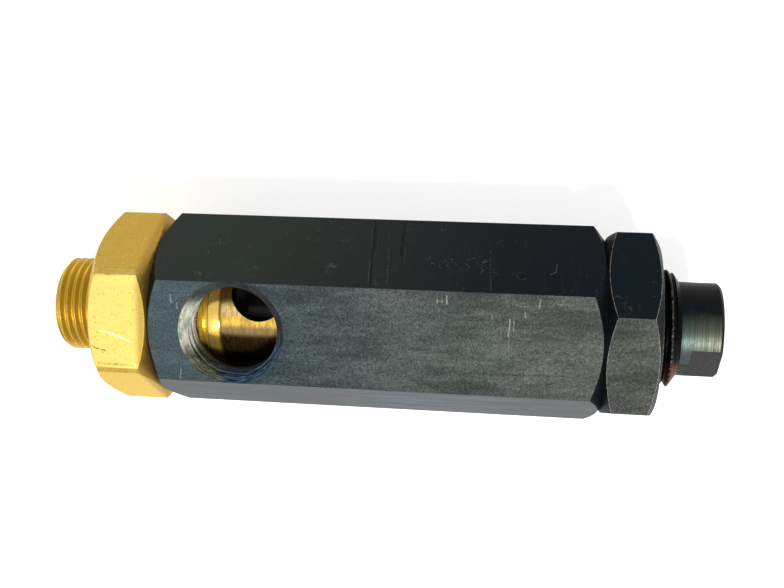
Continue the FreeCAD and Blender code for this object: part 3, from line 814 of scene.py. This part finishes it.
def machined_brass(colours):
    """Dull bright brass: clouded, with flats painted lighter and darker as painted light and shade, pits,
    gouges, painted shade in the corner at the shoulder, painted light and shadow on the nose, and a dark bore
    side with painted shade inside.
    """
    material, tree, shader, place = new_finish("machined brass")
    x = along_valve(tree, place)
    radius = use_group(
        tree, "from line", place=place, point=(0.0, 0.0, 0.0), direction=(1.0, 0.0, 0.0))["Distance"]
    broad = noise(tree, place, 0.16, detail=4.0, roughness=0.6)
    fine = noise(tree, place, 2.0, detail=7.0, roughness=0.75)
    colour = mixed(tree, between(tree, broad, 0.35, 0.65), colours.brass, (0.50, 0.33, 0.045))
    # The front flat is painted lighter, the lower flat a little darker and the rear flat darkest: lit and
    # shaded copies of the brass, painted light and shade.
    front = facing(tree, 0.08, 1.0, 0.90, 0.99)
    colour = mixed(tree, front, colour, (0.80, 0.61, 0.165))
    lower = facing(tree, -0.82, 0.57, 0.90, 0.99)
    colour = mixed(tree, lower, colour, (0.66, 0.45, 0.055))
    rear = facing(tree, 0.9, 0.43, 0.90, 0.99)
    colour = mixed(tree, rear, colour, (0.43, 0.275, 0.036))
    colour = mixed(tree, between(tree, fine, 0.50, 0.70, 0.0, 0.45), colour, (0.72, 0.56, 0.17))
    colour = mixed(tree, between(tree, fine, 0.32, 0.48, 0.50, 0.0), colour, colours.tarnish)
    stub = between(tree, x, -0.3, 0.0, 1.0, 0.0)
    crest = times(tree, between(tree, radius, 8.25, 8.32), between(tree, fine, 0.35, 0.6))
    stub_colour = mixed(tree, crest, (0.58, 0.40, 0.052), (0.38, 0.25, 0.10))
    colour = mixed(tree, stub, colour, stub_colour)
    # Darker brown on the shoulder between hexagon and body: painted shade in the corner.
    shoulder = times(tree, between(tree, x, 8.2, 9.6), between(tree, radius, 12.0, 12.5))
    colour = mixed(tree, times(tree, shoulder, 0.55), colour, (0.26, 0.125, 0.014))
    collar = band(tree, x, 12.0, 12.6, 21.4, 21.6)
    colour = mixed(tree, collar, colour, (0.66, 0.44, 0.055))
    taper = band(tree, x, 19.5, 19.7, 21.4, 21.6)
    colour = mixed(tree, taper, colour, (0.78, 0.53, 0.11))
    rings = calculate(
        tree, "MAXIMUM", band(tree, x, 19.35, 19.5, 19.55, 19.7), band(tree, x, 21.25, 21.4, 21.6, 21.8))
    nose = between(tree, x, 21.4, 21.7)
    nose_cloud = noise(tree, calculate_vector(tree, "MULTIPLY", place, (1.6, 0.35, 0.2)), 1.4, detail=5.0)
    y = along_valve(tree, place, "Y")
    bore_side = between(tree, x, 12.0, 12.6)
    # Across the nose, from below: painted shadow of the port's rim, then a gold band and a pale streak as
    # painted highlight, then darker brown above; the cloudy stain over it is real.
    nose_colour = mixed(tree, between(tree, y, -2.6, -1.4), (0.050, 0.028, 0.010), (0.34, 0.22, 0.085))
    nose_colour = mixed(tree, between(tree, y, -1.0, 0.2), nose_colour, (0.92, 0.60, 0.10))
    nose_colour = mixed(tree, between(tree, y, 1.0, 1.9), nose_colour, (0.90, 0.66, 0.28))
    nose_colour = mixed(tree, between(tree, y, 2.5, 4.4), nose_colour, (0.26, 0.155, 0.034))
    nose_stain = between(tree, nose_cloud, 0.38, 0.62, 0.5, 0.0)
    nose_colour = mixed(tree, nose_stain, nose_colour, (0.16, 0.085, 0.022))
    colour = mixed(tree, nose, colour, nose_colour)
    colour = mixed(tree, times(tree, rings, 0.7), colour, (0.16, 0.080, 0.014))
    # Inside the nozzle's bore and its side holes the brass is painted nearly black: painted shade.
    inner = times(tree, between(tree, x, 11.0, 11.2), between(tree, radius, 8.80, 9.05, 1.0, 0.0))
    colour = mixed(tree, inner, colour, (0.020, 0.012, 0.005))
    pits = use_group(tree, "specks", place=place, spacing=1.5, size=0.20, share=0.30)["Mask"]
    colour = mixed(tree, times(tree, pits, 0.65), colour, colours.tarnish)
    stains = times(tree, rear, between(tree, broad, 0.42, 0.60), between(tree, fine, 0.52, 0.66), 0.55)
    colour = mixed(tree, stains, colour, colours.tarnish)
    worn = use_group(tree, "worn edges", place=place, grain=0.9, amount=0.44)["Mask"]
    colour = mixed(tree, times(tree, worn, 0.6), colour, colours.tarnish)
    ragged = between(tree, fine, 0.42, 0.54)
    colour = mixed(tree, times(tree, marks(tree, place, BRASS_NICKS), ragged), colour, colours.tarnish)
    gouges = times(tree, marks(tree, place, BRASS_GOUGES), between(tree, fine, 0.40, 0.60, 0.35, 0.9))
    colour = mixed(tree, gouges, colour, (0.98, 0.90, 0.55))
    tree.links.new(colour, shader.inputs["Base Color"])
    tree.links.new(outside(tree, times(tree, bore_side, 0.22)), shader.inputs["Metallic"])
    lay = use_group(tree, "lay", place=place, squeeze=(1.0, 0.05, 0.05), scale=3.0)["Value"]
    rough = between(tree, fine, 0.25, 0.75, 0.48, 0.62)
    rough = calculate(tree, "SUBTRACT", rough, times(tree, stub, 0.14))
    rough = calculate(tree, "SUBTRACT", rough, times(tree, bore_side, 0.25))
    rough = calculate(tree, "SUBTRACT", rough, times(tree, taper, 0.10))
    tree.links.new(rough, shader.inputs["Roughness"])
    height = calculate(tree, "ADD", fine, times(tree, lay, 0.8))
    height = calculate(tree, "ADD", height, times(tree, gouges, -1.2))
    height = times(tree, height, outside(tree, times(tree, bore_side, 0.75)))
    add_bump(tree, shader, height, 0.22, 0.03)
    return material


def plain_metal(name, colour, metallic, rough_low, rough_high, squeeze):
    """Turned or drawn metal for the inner pieces."""
    material, tree, shader, place = new_finish(name)
    lay = use_group(tree, "lay", place=place, squeeze=squeeze, scale=4.0)["Value"]
    cloud = noise(tree, place, 0.6, detail=4.0)
    darker = tuple(0.72 * part for part in colour)
    clouded = mixed(tree, between(tree, cloud, 0.35, 0.7, 0.0, 0.7), colour, darker)
    tree.links.new(clouded, shader.inputs["Base Color"])
    tree.links.new(between(tree, lay, 0.3, 0.7, rough_low, rough_high), shader.inputs["Roughness"])
    shader.inputs["Metallic"].default_value = metallic
    add_bump(tree, shader, lay, 0.2, 0.02)
    return material


def moulded(name, colour, rough_low, rough_high, grain):
    """Rubber and sealing plastic."""
    material, tree, shader, place = new_finish(name)
    cloud = noise(tree, place, grain, detail=5.0, roughness=0.65)
    paler = tuple(min(1.0, 1.5 * part + 0.01) for part in colour)
    clouded = mixed(tree, between(tree, cloud, 0.45, 0.8, 0.0, 0.6), colour, paler)
    tree.links.new(clouded, shader.inputs["Base Color"])
    tree.links.new(between(tree, cloud, 0.3, 0.7, rough_low, rough_high), shader.inputs["Roughness"])
    add_bump(tree, shader, cloud, 0.25, 0.03)
    return material


# Operators, one for each piece or group of like pieces

class SAFETYVALVE_OT_effects(bpy.types.Operator):
    """Build the node groups that the finishes share"""
    bl_idname = "safety_valve.effects"
    bl_label = "Build shared effects"

    def execute(self, context):
        build_effects()
        return {"FINISHED"}


class SAFETYVALVE_OT_inlet_nozzle(bpy.types.Operator):
    """Cut the inlet and screw-in threads into the brass nozzle"""
    bl_idname = "safety_valve.inlet_nozzle"
    bl_label = "Make the inlet nozzle"

    def execute(self, context):
        chosen = settings()
        piece, bm = merged_copy("inlet_nozzle", "threaded_inlet_nozzle")
        round_edges(bm, chosen.edges.brass, on_hexagon)
        fill(piece, bm)
        threads = chosen.threads
        inlet = thread_section(
            ALONG, UPRIGHT, INLET_RADIUS - threads.pipe_depth, INLET_RADIUS + 0.1 * MM,
            0.13 * MM, PIPE_FLANK, 0.10 * MM)
        inlet_cutter = helical_cutter(
            "inlet_thread_tool", inlet, ALONG * (-11.10 * MM), ALONG, threads.pipe_pitch, 7.6, threads.steps)
        inner_cutter = helical_cutter(
            "screw_in_thread_tool", screw_section(threads), ALONG * (11.35 * MM), ALONG,
            threads.screw_pitch, 4.75, threads.steps)
        start, end, outer = 19.6 * MM, 21.56 * MM, 9.80 * MM
        taper = turned_ring(
            "collar_taper_tool", [(9.66 * MM, start), (9.24 * MM, end), (outer, end), (outer, start)],
            CENTRE, ALONG, UPRIGHT, TURNED_STEPS)
        machine(piece, ("DIFFERENCE", inlet_cutter), ("DIFFERENCE", inner_cutter), ("DIFFERENCE", taper))
        smooth(piece)
        stand_in(piece, "inlet_nozzle", "housing", machined_brass(chosen.colours))
        return {"FINISHED"}


class SAFETYVALVE_OT_valve_body(bpy.types.Operator):
    """Round the body's edges and tap the outlet port"""
    bl_idname = "safety_valve.valve_body"
    bl_label = "Make the valve body"

    def execute(self, context):
        chosen = settings()
        piece, bm = merged_copy("valve_body", "tapped_valve_body")
        round_edges(bm, chosen.edges.steel, on_hexagon)
        fill(piece, bm)
        threads = chosen.threads
        inner = PORT_DRILL_RADIUS + 0.02 * MM
        outer = INLET_RADIUS + 0.12 * MM
        wall = turned_ring(
            "port_wall",
            [(inner, 10.5 * MM), (outer, 10.5 * MM), (outer, 14.39 * MM), (inner, 13.46 * MM)],
            PORT_CENTRE, UPRIGHT, ALONG, TURNED_STEPS)
        tapped = thread_section(
            UPRIGHT, ALONG, INLET_RADIUS, PORT_DRILL_RADIUS - 0.08 * MM, 0.13 * MM, PIPE_FLANK, 0.08 * MM)
        tap = helical_cutter(
            "port_thread_tool", tapped, PORT_CENTRE + UPRIGHT * (11.2 * MM), UPRIGHT,
            threads.pipe_pitch, 3.4, threads.steps)
        machine(piece, ("UNION", wall), ("DIFFERENCE", tap))
        smooth(piece)
        stand_in(piece, "valve_body", "housing", body_finish(chosen.colours))
        return {"FINISHED"}


class SAFETYVALVE_OT_adjusting_screw(bpy.types.Operator):
    """Cut the thread of the adjusting screw"""
    bl_idname = "safety_valve.adjusting_screw"
    bl_label = "Make the adjusting screw"

    def execute(self, context):
        chosen = settings()
        piece, bm = merged_copy("adjusting_screw", "threaded_adjusting_screw")
        fill(piece, bm)
        threads = chosen.threads
        cutter = helical_cutter(
            "screw_thread_tool", screw_section(threads), ALONG * (80.25 * MM), ALONG,
            threads.screw_pitch, 13.0, threads.steps)
        machine(piece, ("DIFFERENCE", cutter))
        smooth(piece)
        stand_in(piece, "adjusting_screw", "screw_group", screw_finish(chosen.colours))
        return {"FINISHED"}


class SAFETYVALVE_OT_lock_nut(bpy.types.Operator):
    """Round the lock nut's edges"""
    bl_idname = "safety_valve.lock_nut"
    bl_label = "Make the lock nut"

    def execute(self, context):
        chosen = settings()
        piece, bm = merged_copy("lock_nut", "rounded_lock_nut")
        round_edges(bm, chosen.edges.steel, on_hexagon)
        fill(piece, bm)
        smooth(piece)
        stand_in(piece, "lock_nut", "nut", nut_finish(chosen.colours))
        return {"FINISHED"}


class SAFETYVALVE_OT_inner_parts(bpy.types.Operator):
    """Give the pieces inside the valve their finishes"""
    bl_idname = "safety_valve.inner_parts"
    bl_label = "Finish the inner parts"

    def execute(self, context):
        turned = (1.0, 0.1, 0.1)
        stainless = plain_metal("turned stainless steel", (0.56, 0.55, 0.53), 1.0, 0.22, 0.38, turned)
        # The piston's oiled steel is also painted dark: painted shade inside the valve.
        oiled_and_painted_shade = plain_metal("oiled steel", (0.050, 0.046, 0.042), 0.6, 0.42, 0.56, turned)
        wire = plain_metal("spring wire", (0.19, 0.19, 0.20), 0.9, 0.30, 0.45, (1.0, 1.0, 1.0))
        rubber = moulded("seal rubber", (0.018, 0.018, 0.019), 0.48, 0.62, 1.4)
        plastic = moulded("sealing plastic", (0.62, 0.61, 0.57), 0.38, 0.52, 0.9)
        refinish("piston", oiled_and_painted_shade)
        for node in ("seal_washer", "seal_screw", "thrust_ball", "spindle",
                     "lower_spring_plate", "upper_spring_plate", "shim_washer"):
            refinish(node, stainless)
        refinish("main_spring", wire)
        refinish("nozzle_o_ring", rubber)
        refinish("screw_o_ring", rubber)
        refinish("seat_seal", plastic)
        refinish("piston_ring", plastic)
        return {"FINISHED"}


class SAFETYVALVE_OT_stage(bpy.types.Operator):
    """Set the floor, the lamp, the world and the camera"""
    bl_idname = "safety_valve.stage"
    bl_label = "Set the stage"

    def execute(self, context):
        chosen = settings().stage
        scene = context.scene
        scene.view_settings.view_transform = "Standard"
        make_floor(scene, chosen)
        make_lamp(scene, chosen)
        make_world(scene, chosen)
        make_camera(scene)
        return {"FINISHED"}


def seen_directly(tree):
    """1 where the camera, a mirror image or a view through glass meets the surface."""
    path = tree.nodes.new("ShaderNodeLightPath")
    seen = calculate(tree, "MAXIMUM", path.outputs["Is Camera Ray"], path.outputs["Is Glossy Ray"])
    return calculate(tree, "MAXIMUM", seen, path.outputs["Is Transmission Ray"])


def make_floor(scene, chosen):
    low, high = CAD_BOX
    bm = bmesh.new()
    bmesh.ops.create_grid(bm, x_segments=1, y_segments=1, size=2.5)
    bmesh.ops.translate(bm, verts=bm.verts, vec=(0.05, 0.0, low[2]))
    mesh = bpy.data.meshes.new("floor")
    bm.to_mesh(mesh)
    bm.free()
    floor = bpy.data.objects.new("floor", mesh)
    scene.collection.objects.link(floor)
    material = bpy.data.materials.new("pale floor")
    material.use_nodes = True
    tree = material.node_tree
    shader = tree.nodes["Principled BSDF"]
    shader.inputs["Base Color"].default_value = chosen.floor
    shader.inputs["Roughness"].default_value = 0.9
    shader.inputs["Specular IOR Level"].default_value = 0.1
    shader.inputs["Emission Color"].default_value = (1.0, 1.0, 1.0, 1.0)
    tree.links.new(times(tree, seen_directly(tree), FLOOR_GLOW), shader.inputs["Emission Strength"])
    mesh.materials.append(material)


def make_lamp(scene, chosen):
    lamp = bpy.data.lights.new("key_lamp", "SUN")
    lamp.energy = chosen.lamp
    lamp.angle = chosen.lamp_angle
    holder = bpy.data.objects.new("key_lamp", lamp)
    holder.rotation_euler = LAMP_TOWARD.to_track_quat("Z", "Y").to_euler()
    scene.collection.objects.link(holder)


def make_world(scene, chosen):
    world = bpy.data.worlds.new("studio")
    scene.world = world
    world.use_nodes = True
    tree = world.node_tree
    background = tree.nodes["Background"]
    background.inputs["Color"].default_value = (1.0, 1.0, 1.0, 1.0)
    seen = seen_directly(tree)
    strength = calculate(tree, "ADD", calculate(tree, "MULTIPLY", seen, 1.0 - chosen.world), chosen.world)
    tree.links.new(strength, background.inputs["Strength"])


def make_camera(scene):
    camera = bpy.data.cameras.new("camera")
    camera.sensor_width = 36.0
    camera.lens = 49.0
    camera.clip_start = 0.01
    holder = bpy.data.objects.new("camera", camera)
    back = CAMERA_RIGHT.cross(CAMERA_UP).normalized()
    turn = Matrix((CAMERA_RIGHT, CAMERA_UP, back)).transposed().to_4x4()
    holder.matrix_world = Matrix.Translation(CAMERA_PLACE) @ turn
    scene.collection.objects.link(holder)
    scene.camera = holder


class SAFETYVALVE_PT_panel(bpy.types.Panel):
    """The valve's pieces, in the order in which they are made"""
    bl_idname = "SAFETYVALVE_PT_panel"
    bl_label = "Safety valve"
    bl_space_type = "VIEW_3D"
    bl_region_type = "UI"
    bl_category = "Safety valve"

    def draw(self, context):
        chosen = context.scene.safety_valve
        for group in (chosen.threads, chosen.edges, chosen.colours, chosen.stage):
            box = self.layout.box()
            for name in group.__annotations__:
                box.prop(group, name)
        for operator in OPERATORS:
            self.layout.operator(operator.bl_idname)


SETTINGS = (ThreadSizes, EdgeSizes, FinishColours, StageSettings, SafetyValveSettings)
OPERATORS = (
    SAFETYVALVE_OT_effects, SAFETYVALVE_OT_inlet_nozzle, SAFETYVALVE_OT_valve_body,
    SAFETYVALVE_OT_adjusting_screw, SAFETYVALVE_OT_lock_nut, SAFETYVALVE_OT_inner_parts,
    SAFETYVALVE_OT_stage)


def register():
    for group in SETTINGS + OPERATORS + (SAFETYVALVE_PT_panel,):
        bpy.utils.register_class(group)
    bpy.types.Scene.safety_valve = PointerProperty(type=SafetyValveSettings)


def unregister():
    del bpy.types.Scene.safety_valve
    for group in reversed(SETTINGS + OPERATORS + (SAFETYVALVE_PT_panel,)):
        bpy.utils.unregister_class(group)


def main():
    register()
    bpy.ops.safety_valve.effects()
    bpy.ops.safety_valve.inlet_nozzle()
    bpy.ops.safety_valve.valve_body()
    bpy.ops.safety_valve.adjusting_screw()
    bpy.ops.safety_valve.lock_nut()
    bpy.ops.safety_valve.inner_parts()
    bpy.ops.safety_valve.stage()


if __name__ == "__main__":
    main()
